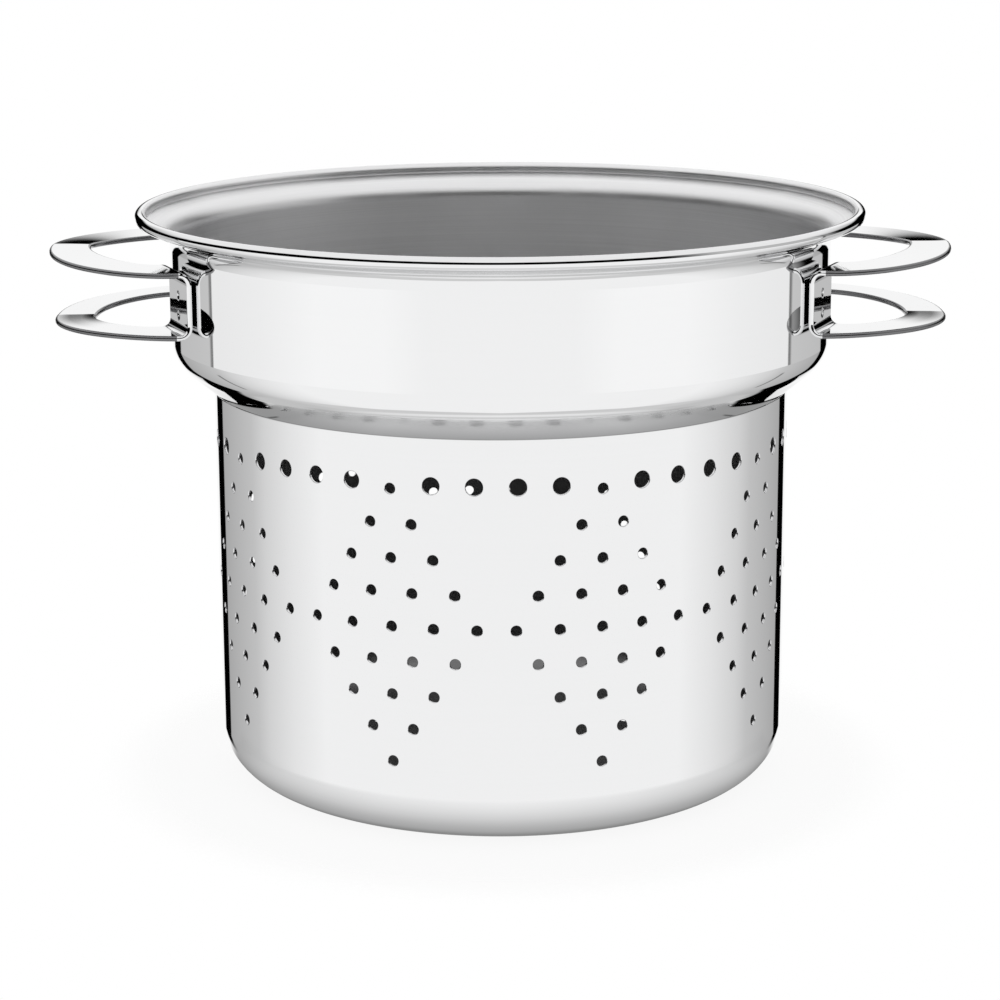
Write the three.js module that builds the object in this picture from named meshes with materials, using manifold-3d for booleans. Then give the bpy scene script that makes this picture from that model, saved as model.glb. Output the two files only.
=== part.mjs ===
// Strainer insert for a pasta pot: a perforated basket under a wider collar with a rolled rim,
// and two double-loop sheet handles welded to the collar. Millimetres, +Z up, the base at height zero.
import * as THREE from "three";
import { mergeGeometries, mergeVertices } from "three/addons/utils/BufferGeometryUtils.js";
import Module from "manifold-3d";

const wasm = await Module();
wasm.setup();

const degree = Math.PI / 180;
const halfTurn = Math.PI;
const quarterTurn = Math.PI / 2;

// Body
const bodySheet = 0.8;
const basketRadius = 110;
const baseCornerRadius = 20;
const creaseHeight = 152;
const shoulderStep = 15.3;
const shoulderRadius = 12.6;
const shoulderAngle = 50 * degree;
const rimAboveCrease = 68.1;
const rimOverhang = 12.9;
const rimBeadRadius = 2.3;
const beadAboveLip = 1;
const flareRadius = 8;
const lipSlope = 20 * degree;
const bodySegments = 45;
const cornerSteps = 5;
const shoulderSteps = 4;
const flareSteps = 3;
const beadSteps = 9;

// Perforations
const smallHoleDiameter = 3.9;
const largeHoleDiameter = 6.2;
const smallHoleSides = 6;
const largeHoleSides = 6;
const diamondCount = 9;
const diamondRows = 9;
const diamondTurn = -20.95 * degree;
const holePitchAngle = 8.18 * degree;
const largeHolePitchAngle = 8.05 * degree;
const topRowBelowCrease = 18.8;
const lowestRowAboveCorner = 12.4;
const largeRowAboveTopRow = 1.8;
const largeHolesPerGap = 4;
const baseRingPitch = 22;
const baseHolesFirstRing = 6;
const baseHoleMargin = 10;
const cutOverrun = 2;

// Handles
const handleSheet = 2;
const handleReach = 45.9;
const lowerLoopSetback = 1.2;
const tipBandWidth = 15.3;
const strapWidth = 24;
const strapAngle = 22.5 * degree;
const bendRadius = 3;
const weldGap = 0.3;
const upperLoopBelowRim = 16.7;
const loopSpacing = 23;
const loopSpread = 1.9;
const edgeRound = 0.6;
const upperLoopShares = { outerTip: 0.73, outerArm: 0.31, innerTip: 0.47, innerArm: 0.29 };
const lowerLoopShares = { outerTip: 0.81, outerArm: 0.13, innerTip: 0.68, innerArm: 0.3 };
const loopSteps = 9;
const bendSteps = 4;

// Spot welds
const weldSpacing = 7.6;
const weldsBelowMiddle = 1.2;
const weldDimpleDiameter = 4;
const weldDimpleDepth = 0.4;
const weldDimpleSides = 8;

// Worked out from the sizes above
const collarRadius = basketRadius + shoulderStep;
const rimRadius = collarRadius + rimOverhang;
const rimHeight = creaseHeight + rimAboveCrease;
const smallRowTop = creaseHeight - topRowBelowCrease;
const smallRowBottom = baseCornerRadius + lowestRowAboveCorner;
const largeRowHeight = smallRowTop + largeRowAboveTopRow;
const baseFlatRadius = basketRadius - baseCornerRadius;
const upperLoopTop = rimHeight - upperLoopBelowRim;
const lowerLoopTop = upperLoopTop - loopSpacing;
const strapFace = collarRadius + weldGap + handleSheet;
const bendCentre = strapFace + bendRadius;
const bendMiddleRadius = bendRadius + handleSheet / 2;
const tipRadius = collarRadius + handleReach;

const polishedSteel = { color: 0xd9dbdd, roughness: 0.12, metalness: 1 };

// Points of an arc in the profile plane, x outwards and y up, from one angle to another.
function arcPoints(centreX, centreY, radius, from, to, steps) {
  const points = [];
  for (let i = 0; i <= steps; i++) {
    const angle = from + ((to - from) * i) / steps;
    points.push(new THREE.Vector2(centreX + radius * Math.cos(angle), centreY + radius * Math.sin(angle)));
  }
  return points;
}

// A closed geometry as a solid: only positions are kept, shared corners are merged
// and the flat triangles at a lathe's axis are dropped.
function solidFrom(geometry) {
  const bare = geometry.clone();
  bare.deleteAttribute("normal");
  bare.deleteAttribute("uv");
  const merged = mergeVertices(bare);
  const corners = merged.index.array;
  const kept = [];
  for (let i = 0; i < corners.length; i += 3) {
    const [a, b, c] = corners.slice(i, i + 3);
    if (a !== b && b !== c && c !== a) kept.push(a, b, c);
  }
  return new wasm.Manifold(
    new wasm.Mesh({
      numProp: 3,
      vertProperties: merged.attributes.position.array,
      triVerts: new Uint32Array(kept),
    }),
  );
}

function geometryFrom(solid) {
  const mesh = solid.getMesh();
  const geometry = new THREE.BufferGeometry();
  geometry.setAttribute("position", new THREE.BufferAttribute(mesh.vertProperties, mesh.numProp));
  geometry.setIndex(new THREE.BufferAttribute(mesh.triVerts, 1));
  geometry.computeVertexNormals();
  return geometry;
}

// Height of the shoulder arc's centre: the cone that rises from the crease meets the arc at a tangent.
function shoulderCentreHeight() {
  const tangentRadius = collarRadius - shoulderRadius * (1 - Math.cos(shoulderAngle));
  const tangentHeight = creaseHeight + (tangentRadius - basketRadius) / Math.tan(shoulderAngle);
  return tangentHeight + shoulderRadius * Math.sin(shoulderAngle);
}

// Height of the flare arc's centre: the lip leaves the arc at a tangent and meets the rim bead
// so that the bead's centre stands clear of the lip's upper face.
function flareCentreHeight() {
  const lipAngle = quarterTurn + lipSlope;
  const outwards = rimRadius - rimBeadRadius - (collarRadius + flareRadius);
  const squareToLip = flareRadius + bodySheet + beadAboveLip;
  const drop = (squareToLip - outwards * Math.cos(lipAngle)) / Math.sin(lipAngle);
  return rimHeight - rimBeadRadius - drop;
}

// The sheet's outline from the axis under the base, up the outside, over the rim and down the inside.
function bodyProfile() {
  const shoulderX = collarRadius - shoulderRadius;
  const shoulderY = shoulderCentreHeight();
  const flareX = collarRadius + flareRadius;
  const flareY = flareCentreHeight();
  const beadX = rimRadius - rimBeadRadius;
  const beadY = rimHeight - rimBeadRadius;
  const lipAngle = quarterTurn + lipSlope;
  const innerCrease = creaseHeight + bodySheet * Math.tan(shoulderAngle / 2);
  const beadStart = lipSlope + Math.asin((beadAboveLip + bodySheet) / rimBeadRadius) - halfTurn;
  const beadEnd = lipSlope + Math.asin(beadAboveLip / rimBeadRadius) + halfTurn;
  const outside = [
    new THREE.Vector2(0, 0),
    ...arcPoints(baseFlatRadius, baseCornerRadius, baseCornerRadius, -quarterTurn, 0, cornerSteps),
    new THREE.Vector2(basketRadius, creaseHeight),
    ...arcPoints(shoulderX, shoulderY, shoulderRadius, -shoulderAngle, 0, shoulderSteps),
    ...arcPoints(flareX, flareY, flareRadius, halfTurn, lipAngle, flareSteps),
    ...arcPoints(beadX, beadY, rimBeadRadius, beadStart, beadEnd, beadSteps),
  ];
  const innerCorner = baseCornerRadius - bodySheet;
  const inside = [
    ...arcPoints(flareX, flareY, flareRadius + bodySheet, lipAngle, halfTurn, flareSteps),
    ...arcPoints(shoulderX, shoulderY, shoulderRadius - bodySheet, 0, -shoulderAngle, shoulderSteps),
    new THREE.Vector2(basketRadius - bodySheet, innerCrease),
    ...arcPoints(baseFlatRadius, baseCornerRadius, innerCorner, 0, -quarterTurn, cornerSteps),
    new THREE.Vector2(0, bodySheet),
  ];
  return [...outside, ...inside];
}

// A prism along X through the basket wall, turned to its place; the turn is from the front towards +X.
function wallCutter(diameter, sides, turn, height) {
  const length = bodySheet + 2 * cutOverrun;
  const cutter = new THREE.CylinderGeometry(diameter / 2, diameter / 2, length, sides);
  cutter.rotateZ(quarterTurn);
  cutter.translate(basketRadius - bodySheet / 2, 0, height);
  cutter.rotateZ(turn - quarterTurn);
  return cutter;
}

// Diamonds of small holes, each with rows that grow to the middle row and shrink back to one hole.
function diamondCutters() {
  const cutters = [];
  const rowPitch = (smallRowTop - smallRowBottom) / (diamondRows - 1);
  const widestRow = (diamondRows - 1) / 2;
  for (let diamond = 0; diamond < diamondCount; diamond++) {
    const middle = diamondTurn + (diamond * 2 * halfTurn) / diamondCount;
    for (let row = 0; row < diamondRows; row++) {
      const holes = widestRow + 1 - Math.abs(row - widestRow);
      const height = smallRowTop - row * rowPitch;
      for (let hole = 0; hole < holes; hole++) {
        const turn = middle + (hole - (holes - 1) / 2) * holePitchAngle;
        cutters.push(wallCutter(smallHoleDiameter, smallHoleSides, turn, height));
      }
    }
  }
  return cutters;
}

// Large holes in the top row, between the tips of each two neighbouring diamonds.
function largeHoleCutters() {
  const cutters = [];
  for (let gap = 0; gap < diamondCount; gap++) {
    const middle = diamondTurn + ((gap + 1 / 2) * 2 * halfTurn) / diamondCount;
    for (let hole = 0; hole < largeHolesPerGap; hole++) {
      const turn = middle + (hole - (largeHolesPerGap - 1) / 2) * largeHolePitchAngle;
      cutters.push(wallCutter(largeHoleDiameter, largeHoleSides, turn, largeRowHeight));
    }
  }
  return cutters;
}

// Rings of small holes in the flat base, each ring with more holes than the one inside it.
function baseCutters() {
  const cutters = [];
  const rings = Math.floor((baseFlatRadius - baseHoleMargin) / baseRingPitch);
  const radius = smallHoleDiameter / 2;
  const length = bodySheet + 2 * cutOverrun;
  for (let ring = 1; ring <= rings; ring++) {
    const holes = ring * baseHolesFirstRing;
    for (let hole = 0; hole < holes; hole++) {
      const cutter = new THREE.CylinderGeometry(radius, radius, length, smallHoleSides);
      cutter.rotateX(quarterTurn);
      cutter.translate(ring * baseRingPitch, 0, bodySheet / 2);
      cutter.rotateZ((hole * 2 * halfTurn) / holes);
      cutters.push(cutter);
    }
  }
  return cutters;
}

function strainerBody() {
  const shell = new THREE.LatheGeometry(bodyProfile(), bodySegments, diamondTurn - holePitchAngle / 4);
  shell.rotateX(quarterTurn);
  const cutters = mergeGeometries([...diamondCutters(), ...largeHoleCutters(), ...baseCutters()]);
  return geometryFrom(solidFrom(shell).subtract(solidFrom(cutters)));
}

// One cross-section of the handle's band: its two edges in the middle of the sheet, and the sheet's normal.
function station(outer, inner, normal) {
  return { outer, inner, normal };
}

// A section of the strap, square to the collar's radius, at a distance from the axis and a height.
function strapStation(distance, height, bendAngle) {
  const along = new THREE.Vector3(-Math.sin(strapAngle), Math.cos(strapAngle), 0);
  const out = new THREE.Vector3(Math.cos(strapAngle), Math.sin(strapAngle), 0);
  const middle = out.clone().multiplyScalar(distance).setZ(height);
  const normal = out.clone().multiplyScalar(-Math.sin(bendAngle)).setZ(Math.cos(bendAngle));
  const outer = middle.clone().addScaledVector(along, strapWidth / 2);
  const inner = middle.clone().addScaledVector(along, -strapWidth / 2);
  return station(outer, inner, normal);
}

// A quarter of a loop's outline in plan, from the tip on the X axis to one edge of the strap. The shares
// say how far the curve runs square to the X axis at the tip, and along the strap's radius at its end.
function loopEdge(tipX, side, tipPullShare, armPullShare) {
  const end = strapStation(bendCentre, 0, 0)[side];
  const armLength = (tipX - end.x) * armPullShare;
  const armPull = new THREE.Vector2(armLength * Math.cos(strapAngle), armLength * Math.sin(strapAngle));
  return new THREE.CubicBezierCurve(
    new THREE.Vector2(tipX, 0),
    new THREE.Vector2(tipX, end.y * tipPullShare),
    new THREE.Vector2(end.x, end.y).add(armPull),
    new THREE.Vector2(end.x, end.y),
  );
}

// Sections from a loop's tip to its strap; the loop climbs from the strap to the tip by tipRise.
function loopStations(tipX, strapHeight, tipRise, shares, normalZ) {
  const outerEdge = loopEdge(tipX, "outer", shares.outerTip, shares.outerArm);
  const innerEdge = loopEdge(tipX - tipBandWidth, "inner", shares.innerTip, shares.innerArm);
  const stations = [];
  for (let i = 0; i < loopSteps; i++) {
    const share = i / loopSteps;
    const height = strapHeight + tipRise * (1 - share) * (1 - share);
    const outer = outerEdge.getPoint(share);
    const inner = innerEdge.getPoint(share);
    stations.push(
      station(
        new THREE.Vector3(outer.x, outer.y, height),
        new THREE.Vector3(inner.x, inner.y, height),
        new THREE.Vector3(0, 0, normalZ),
      ),
    );
  }
  return stations;
}

// Sections round a bend between a loop and the strap; the angle is zero on the upper loop.
function bendStations(centreHeight, from, to) {
  const stations = [];
  for (let i = 0; i <= bendSteps; i++) {
    const angle = from + ((to - from) * i) / bendSteps;
    const distance = bendCentre - bendMiddleRadius * Math.sin(angle);
    stations.push(strapStation(distance, centreHeight + bendMiddleRadius * Math.cos(angle), angle));
  }
  return stations;
}

// Half of the closed band, from the upper loop's tip down one strap to the lower loop's tip.
function halfBand() {
  const upperMiddle = upperLoopTop - handleSheet / 2;
  const lowerMiddle = lowerLoopTop - handleSheet / 2;
  return [
    ...loopStations(tipRadius, upperMiddle, loopSpread, upperLoopShares, 1),
    ...bendStations(upperMiddle - bendMiddleRadius, 0, quarterTurn),
    ...bendStations(lowerMiddle + bendMiddleRadius, quarterTurn, halfTurn),
    ...loopStations(tipRadius - lowerLoopSetback, lowerMiddle, -loopSpread, lowerLoopShares, -1).reverse(),
  ];
}

// A section on the other side of the XZ plane.
function mirrored({ outer, inner, normal }) {
  const [a, b, c] = [outer, inner, normal].map((v) => new THREE.Vector3(v.x, -v.y, v.z));
  return station(a, b, c);
}

// The eight corners of a section: a flat strip of sheet with its edges eased.
function sectionCorners({ outer, inner, normal }) {
  const across = outer.clone().sub(inner).normalize();
  const half = handleSheet / 2;
  const corner = (edge, inward, rise) =>
    edge.clone().addScaledVector(across, inward).addScaledVector(normal, rise);
  return [
    corner(outer, 0, half - edgeRound),
    corner(outer, -edgeRound, half),
    corner(inner, edgeRound, half),
    corner(inner, 0, half - edgeRound),
    corner(inner, 0, edgeRound - half),
    corner(inner, edgeRound, -half),
    corner(outer, -edgeRound, -half),
    corner(outer, 0, edgeRound - half),
  ];
}

// A closed ring of sections joined by flat faces.
function bandGeometry(stations) {
  const rings = stations.map(sectionCorners);
  const sides = rings[0].length;
  const positions = rings.flat().flatMap((corner) => corner.toArray());
  const faces = [];
  for (let i = 0; i < rings.length; i++) {
    const here = i * sides;
    const next = ((i + 1) % rings.length) * sides;
    for (let j = 0; j < sides; j++) {
      const k = (j + 1) % sides;
      faces.push(here + j, next + j, next + k, here + j, next + k, here + k);
    }
  }
  const geometry = new THREE.BufferGeometry();
  geometry.setAttribute("position", new THREE.Float32BufferAttribute(positions, 3));
  geometry.setIndex(faces);
  return geometry;
}

// Two shallow cones a strap, where the welding tips pressed the sheet.
function weldDimples() {
  const middle = (upperLoopTop - handleSheet + lowerLoopTop) / 2 - weldsBelowMiddle;
  const cutters = [];
  for (const turn of [-strapAngle, strapAngle]) {
    for (const height of [middle - weldSpacing / 2, middle + weldSpacing / 2]) {
      const slope = weldDimpleDiameter / 2 / weldDimpleDepth;
      const length = weldDimpleDepth + cutOverrun;
      const cone = new THREE.ConeGeometry(length * slope, length, weldDimpleSides);
      cone.rotateZ(quarterTurn);
      cone.translate(strapFace + (cutOverrun - weldDimpleDepth) / 2, 0, height);
      cone.rotateZ(turn);
      cutters.push(cone);
    }
  }
  return cutters;
}

function doubleLoopHandle() {
  const half = halfBand();
  const otherHalf = half.slice(1, -1).map(mirrored).reverse();
  let handle = solidFrom(bandGeometry([...half, ...otherHalf]));
  for (const dimple of weldDimples()) handle = handle.subtract(solidFrom(dimple));
  return geometryFrom(handle);
}

function steelMesh(name, geometry) {
  const mesh = new THREE.Mesh(geometry, new THREE.MeshStandardMaterial(polishedSteel));
  mesh.name = name;
  return mesh;
}

const strainer = new THREE.Group();
strainer.add(steelMesh("strainer_body", strainerBody()));

const handleRight = steelMesh("handle_right", doubleLoopHandle());
const handleLeft = steelMesh("handle_left", doubleLoopHandle());
handleLeft.rotation.z = halfTurn;
strainer.add(handleRight, handleLeft);

export default strainer;
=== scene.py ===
"""Strainer insert of a pasta pot: a perforated steel basket and two double-loop handles. Metres, +Z up."""
import math
from typing import NamedTuple

import bpy
import numpy as np
from mathutils import Matrix


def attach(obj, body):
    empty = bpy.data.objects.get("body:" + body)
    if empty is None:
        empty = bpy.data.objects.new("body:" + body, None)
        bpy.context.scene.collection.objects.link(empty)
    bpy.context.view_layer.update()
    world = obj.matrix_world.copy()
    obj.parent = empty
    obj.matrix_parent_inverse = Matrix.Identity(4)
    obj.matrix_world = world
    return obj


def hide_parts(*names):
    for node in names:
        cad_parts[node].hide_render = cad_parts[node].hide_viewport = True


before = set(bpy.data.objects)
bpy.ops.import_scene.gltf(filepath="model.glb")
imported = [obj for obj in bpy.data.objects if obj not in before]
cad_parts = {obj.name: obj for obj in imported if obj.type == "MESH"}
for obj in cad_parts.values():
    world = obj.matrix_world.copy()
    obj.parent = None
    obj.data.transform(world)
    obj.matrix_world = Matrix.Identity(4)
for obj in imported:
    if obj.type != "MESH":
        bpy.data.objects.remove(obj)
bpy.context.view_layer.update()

bl_info = {
    "name": "Pasta pot strainer insert",
    "version": (1, 0, 0),
    "blender": (4, 5, 0),
    "location": "View3D > Sidebar > Strainer",
    "description": "Builds a perforated strainer insert with welded double-loop handles on its packed frame",
    "category": "Add Mesh",
}

MILLIMETRE = 0.001
HALF_TURN = math.pi
QUARTER_TURN = math.pi / 2
FULL_TURN = 2 * math.pi
TINY = 1e-9
POLISHED, SATIN, PUNCHED = range(3)


# Properties


def setting(kind, scale=None, **options):
    """A maker of properties from a name, a description and a default in millimetres, degrees or as it is."""

    def make(name, description, default):
        value = default * scale if scale else default
        return kind(name=name, description=description, default=value, **options)

    return make


number = bpy.props.FloatProperty
length = setting(number, MILLIMETRE, min=0, precision=5, subtype="DISTANCE", unit="LENGTH")
angle = setting(number, math.radians(1), subtype="ANGLE", unit="ROTATION")
share = setting(number, min=0, max=1, subtype="FACTOR")
shift = setting(number)
count = setting(bpy.props.IntProperty, min=1)
colour = setting(bpy.props.FloatVectorProperty, size=3, min=0, max=1, subtype="COLOR")


class BodySizes(bpy.types.PropertyGroup):
    """Sizes of the drawn sheet body"""

    sheet: length("Sheet", "Thickness of the body's sheet", 0.8)
    basket_radius: length("Basket radius", "Outside radius of the straight basket", 110)
    corner_radius: length("Base corner", "Outside radius of the corner under the basket", 20)
    crease_height: length("Crease height", "Height of the crease between basket and shoulder", 152)
    crease_fillet: length("Crease fillet", "Radius of the small fillet in the crease", 1.1)
    shoulder_step: length("Shoulder step", "How much wider the collar is than the basket", 15.3)
    shoulder_radius: length("Shoulder radius", "Outside radius of the turn into the collar", 12.6)
    shoulder_angle: angle("Shoulder angle", "Angle that the shoulder turns through", 50)
    rim_above_crease: length("Rim above crease", "Height of the rim above the crease", 68.1)
    rim_overhang: length("Rim overhang", "How far the rim stands out from the collar", 12.9)
    bead_radius: length("Bead radius", "Radius of the rolled bead", 2.3)
    bead_above_lip: length("Bead above lip", "Height of the bead's centre over the lip's upper face", 1)
    flare_radius: length("Flare radius", "Radius of the turn from the collar into the lip", 8)
    lip_slope: angle("Lip slope", "Slope of the lip between the flare and the bead", 20)
    segments: count("Segments", "Divisions round the body", 288)


class HoleSizes(bpy.types.PropertyGroup):
    """Sizes and places of the perforations"""

    small_diameter: length("Small hole", "Diameter of the holes in the diamonds and the base", 3.9)
    large_diameter: length("Large hole", "Diameter of the holes in the top row", 6.2)
    edge_round: length("Edge round", "Radius that the punch leaves on a hole's edge", 0.45)
    diamond_count: count("Diamonds", "Diamonds round the basket", 9)
    diamond_side: count("Diamond side", "Holes along one side of a diamond", 5)
    diamond_turn: angle("First diamond", "Turn of the first diamond from the front", -20.95)
    pitch_angle: angle("Hole pitch", "Angle between neighbours in a row of a diamond", 8.18)
    large_pitch_angle: angle("Large hole pitch", "Angle between neighbours in the top row", 8.05)
    top_below_crease: length("Top row", "Depth of the highest small hole below the crease", 18.8)
    bottom_above_corner: length("Lowest row", "Height of the lowest small hole above the corner", 12.4)
    large_above_top: length("Large row", "Height of the large holes above the highest small one", 1.8)
    large_per_gap: count("Large holes", "Large holes between two diamonds", 4)
    base_ring_pitch: length("Base ring pitch", "Distance between the rings of holes in the base", 22)
    base_first_ring: count("First ring", "Holes in the innermost ring of the base", 6)
    base_rings: count("Base rings", "Rings of holes in the base", 3)


class HandleSizes(bpy.types.PropertyGroup):
    """Sizes of the two handles"""

    sheet: length("Sheet", "Thickness of the handle's band", 2)
    reach: length("Reach", "How far the upper loop stands out from the collar", 45.9)
    lower_setback: length("Lower setback", "How much shorter the lower loop is", 1.2)
    tip_width: length("Tip width", "Width of the band at a loop's tip", 15.3)
    strap_width: length("Strap width", "Width of the straps on the collar", 24)
    strap_angle: angle("Strap angle", "Turn of a strap from the handle's middle", 22.5)
    bend_radius: length("Bend radius", "Inside radius of the bends between loop and strap", 3)
    weld_gap: length("Weld gap", "Gap between strap and collar", 0.3)
    below_rim: length("Below rim", "Depth of the upper loop's top below the rim", 16.7)
    loop_spacing: length("Loop spacing", "Height between the tops of the two loops", 23)
    loop_spread: length("Loop spread", "How far a loop's tip leaves its strap's height", 1.9)
    edge_round: length("Edge round", "Radius of the band's rounded edges", 0.98)
    weld_spacing: length("Weld spacing", "Distance between the two welds on a strap", 7.6)
    weld_drop: length("Weld drop", "How far the welds sit below the strap's middle", 1.2)
    dimple_diameter: length("Weld dimple", "Diameter of a weld's dimple", 4)
    dimple_depth: length("Dimple depth", "Depth of a weld's dimple", 0.4)


class SteelFinish(bpy.types.PropertyGroup):
    """Colour and polish of the steel"""

    tint: colour("Steel", "Colour of the polished steel", (0.862, 0.864, 0.868))
    inside_tint: colour("Satin steel", "Colour of the brushed steel inside", (0.88, 0.88, 0.885))
    edge_tint: colour("Cut edge", "Colour of the punched edges", (0.78, 0.78, 0.79))
    # Painted shade: the loops' round edges are dark grey in their colour, standing in for the shade and dark
    # reflections on them.
    loop_edge_painted_shade: colour("Loop edge", "Colour of the cut edges of the handles' loops", (0.2, 0.2, 0.205))
    polish: share("Polish roughness", "Roughness of the polished outside", 0.03)
    satin: share("Satin roughness", "Roughness of the brushed inside", 0.38)
    cut: share("Cut roughness", "Roughness of the punched edges", 0.18)


class StudioSizes(bpy.types.PropertyGroup):
    """Camera and floor"""

    camera_distance: length("Camera distance", "Distance of the camera from the axis", 1076.6)
    camera_height: length("Camera height", "Height of the camera above the floor", 361.6)
    camera_pitch: angle("Camera pitch", "How far the camera looks down", 13.44)
    camera_roll: angle("Camera roll", "Turn of the camera about its own axis", -0.233)
    lens: length("Lens", "Focal length of the camera", 102.27)
    lens_shift: shift("Shift", "Sideways shift of the lens", -0.0013)
    floor_radius: length("Floor radius", "Radius of the floor", 165)
    floor_drop: length("Floor drop", "Gap between the base and the floor", 0.2)


GROUPS = {
    "strainer_body_sizes": BodySizes,
    "strainer_hole_sizes": HoleSizes,
    "strainer_handle_sizes": HandleSizes,
    "strainer_finish": SteelFinish,
    "strainer_studio": StudioSizes,
}


# Nodes


def math_method(operation, reflected=False):
    def method(value, other):
        return value.graph.math(operation, *((other, value) if reflected else (value, other)))

    return method


class Value:
    """A number in a node tree: Python's operators on it add Math nodes."""

    def __init__(self, graph, socket):
        self.graph = graph
        self.socket = socket

    def __neg__(self):
        return self * -1

    __add__ = __radd__ = math_method("ADD")
    __sub__ = math_method("SUBTRACT")
    __rsub__ = math_method("SUBTRACT", reflected=True)
    __mul__ = __rmul__ = math_method("MULTIPLY")
    __truediv__ = math_method("DIVIDE")
    __rtruediv__ = math_method("DIVIDE", reflected=True)
    __gt__ = math_method("GREATER_THAN")
    __lt__ = math_method("LESS_THAN")


class Graph:
    """A node tree, with one method that adds any node."""

    def __init__(self, tree):
        self.tree = tree

    def node(self, kind, settings=None, sockets=None):
        node = self.tree.nodes.new(kind)
        for name, value in (settings or {}).items():
            if name == "stops":
                self.set_stops(node.color_ramp, value)
            else:
                setattr(node, name, value)
        for name, value in (sockets or {}).items():
            self.feed(node.inputs[name], value)
        return node

    def feed(self, socket, value):
        if isinstance(value, Value):
            value = value.socket
        if isinstance(value, bpy.types.NodeSocket):
            self.tree.links.new(value, socket)
        else:
            socket.default_value = value

    def set_stops(self, ramp, stops):
        while len(ramp.elements) < len(stops):
            ramp.elements.new(0)
        for element, (position, grey) in zip(ramp.elements, stops):
            element.position = position
            element.color = (grey, grey, grey, 1)

    def value(self, kind, settings=None, sockets=None, output=0):
        return Value(self, self.node(kind, settings, sockets).outputs[output])

    def math(self, operation, *terms):
        return self.value("ShaderNodeMath", {"operation": operation}, dict(enumerate(terms)))

    def ramp(self, factor, stops):
        return self.value("ShaderNodeValToRGB", {"stops": stops}, {"Fac": factor})

    def step(self, value, low, high):
        """A soft step from 0 at low to 1 at high."""
        return self.value(
            "ShaderNodeMapRange",
            {"interpolation_type": "SMOOTHSTEP"},
            {"Value": value, "From Min": low, "From Max": high},
        )

    def between(self, value, low, high, low_blend, high_blend=None):
        """1 between low and high and 0 beyond them; a blend is half of its soft edge's width."""
        high_blend = high_blend or low_blend
        rise = self.step(value, low - low_blend, low + low_blend)
        return rise * (1 - self.step(value, high - high_blend, high + high_blend))

    def groups_before(self, index, size):
        """How many full groups come before an index; the half keeps it clear of rounding."""
        return self.math("FLOOR", (index + 0.5) / size)

    def vector(self, x, y, z):
        return self.node("ShaderNodeCombineXYZ", None, {"X": x, "Y": y, "Z": z}).outputs[0]

    def parts(self, vector):
        node = self.node("ShaderNodeSeparateXYZ", None, {"Vector": vector})
        return [Value(self, socket) for socket in node.outputs]


# Steel


def new_material(name):
    material = bpy.data.materials.new(name)
    material.use_nodes = True
    graph = Graph(material.node_tree)
    return material, graph, material.node_tree.nodes["Principled BSDF"]


class Grain(NamedTuple):
    """Turning lines: their strength in the colour, how fine and how short they are, and their depth."""

    lines: float
    fineness: float
    stretch: float
    depth: float


POLISHED_GRAIN = Grain(lines=0.012, fineness=900, stretch=6, depth=0.000001)
SATIN_GRAIN = Grain(lines=0.25, fineness=2600, stretch=9, depth=0.00006)
PUNCHED_GRAIN = Grain(lines=0.1, fineness=3000, stretch=700, depth=0.00001)
HANDLE_GRAIN = Grain(lines=0.02, fineness=700, stretch=60, depth=0.000002)
LOOP_EDGE_GRAIN = Grain(lines=0.1, fineness=900, stretch=200, depth=0.000004)
CLOUD_SCALE = 35
CLOUD_ROUGHNESS = 0.6
GRAIN_ROUGHNESS = 0.4
BUMP_STRENGTH = 0.3
HANDLE_ROUGHNESS = 1.3  # the handles' roughness over the body's
DULL_FRONT = (0.084, 0.1)  # how far in front of the axis the band of painted shade starts to be rougher, in metres


class PaintedShadeAndRoughBand(NamedTuple):
    """A band of heights with painted shade: darker by one share at its foot and another at its head.

    At the front it also gets rougher towards its head.
    """

    low: float
    high: float
    low_blend: float
    high_blend: float
    foot: float
    head: float
    roughness: float


def turning_lines(graph, grain):
    """Fine lines that run round the axis on walls, cones and the flat base alike."""
    x, y, z = graph.parts(graph.node("ShaderNodeTexCoord").outputs["Object"])
    radius = graph.math("SQRT", x * x + y * y)
    place = graph.vector(x * grain.stretch, y * grain.stretch, (z - radius) * grain.fineness)
    noise = {"Vector": place, "Scale": 1, "Detail": 3, "Roughness": 0.6}
    return graph.value("ShaderNodeTexNoise", None, noise)


def soft_clouds(graph):
    place = graph.node("ShaderNodeTexCoord").outputs["Object"]
    return graph.value("ShaderNodeTexNoise", None, {"Vector": place, "Scale": CLOUD_SCALE, "Detail": 2})


def with_painted_shade_band(graph, shade_band, shade, roughness):
    """The shade and the roughness with a band of painted shade and roughness in them."""
    _, y, height = graph.parts(graph.node("ShaderNodeTexCoord").outputs["Object"])
    inside = graph.step(height, shade_band.low, shade_band.low + shade_band.low_blend)
    inside = inside * (1 - graph.step(height, shade_band.high - shade_band.high_blend, shade_band.high))
    share = (height - shade_band.low) / (shade_band.high - shade_band.low)
    # Painted shade: the colour is darkened inside the band, by the foot's share at its foot and the head's at
    # its head.
    shade = shade * (1 - inside * (shade_band.foot + share * (shade_band.head - shade_band.foot)))
    rough = inside * graph.math("POWER", graph.math("MAXIMUM", share, 0), 3) * graph.step(-y, *DULL_FRONT)
    return shade, roughness + rough * (shade_band.roughness - roughness)


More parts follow.
